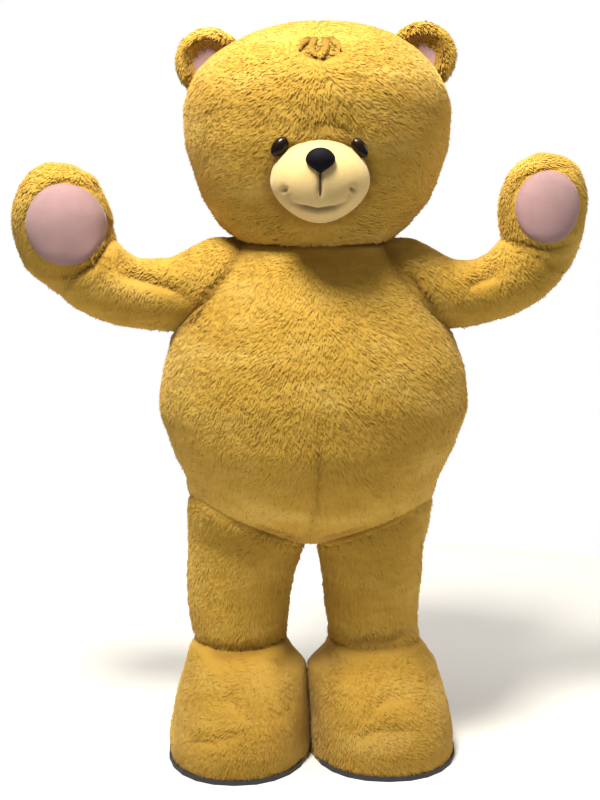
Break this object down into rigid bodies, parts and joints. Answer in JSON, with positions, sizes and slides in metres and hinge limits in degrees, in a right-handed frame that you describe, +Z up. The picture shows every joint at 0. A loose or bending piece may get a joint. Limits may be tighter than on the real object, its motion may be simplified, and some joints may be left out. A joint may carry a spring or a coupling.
{
  "type": "bear mascot costume",
  "caption": "Worn plush bear costume: round foam head with ears and muzzle, hollow suit with raised arms, mitts with palm pads, boots.",
  "frame": {"origin": "on the costume's middle line at the height of the wearer's shoulders, 1.45 m above the soles, where the wearer holds it up", "axes": "+Z up, -Y the way the bear faces, +X the wearer's left"},
  "size_m": [1.6384, 0.778, 2.1019],
  "materials": {
    "plush": "golden short-pile plush",
    "pink_pile": "dusty pink velour",
    "cream_pile": "cream velour",
    "nose_satin": "black satin",
    "eye_gloss": "dark gloss",
    "sole": "matte"
  },
  "bodies": {
    "root": {"body_front_right": "plush", "body_front_left": "plush", "body_back_right": "plush", "body_back_left": "plush", "sleeve_right": "plush", "sleeve_left": "plush", "paw_right": "plush", "paw_left": "plush", "leg_right": "plush", "leg_left": "plush", "foot_right": "plush", "foot_left": "plush", "head_front": "plush", "head_back": "plush", "ear_right": "plush", "ear_left": "plush", "inner_ear_right": "pink_pile", "inner_ear_left": "pink_pile", "palm_pad_right": "pink_pile", "palm_pad_left": "pink_pile", "muzzle": "cream_pile", "nose": "nose_satin", "eye_right": "eye_gloss", "eye_left": "eye_gloss", "sole_right": "sole", "sole_left": "sole"}
  },
  "joints": []
}
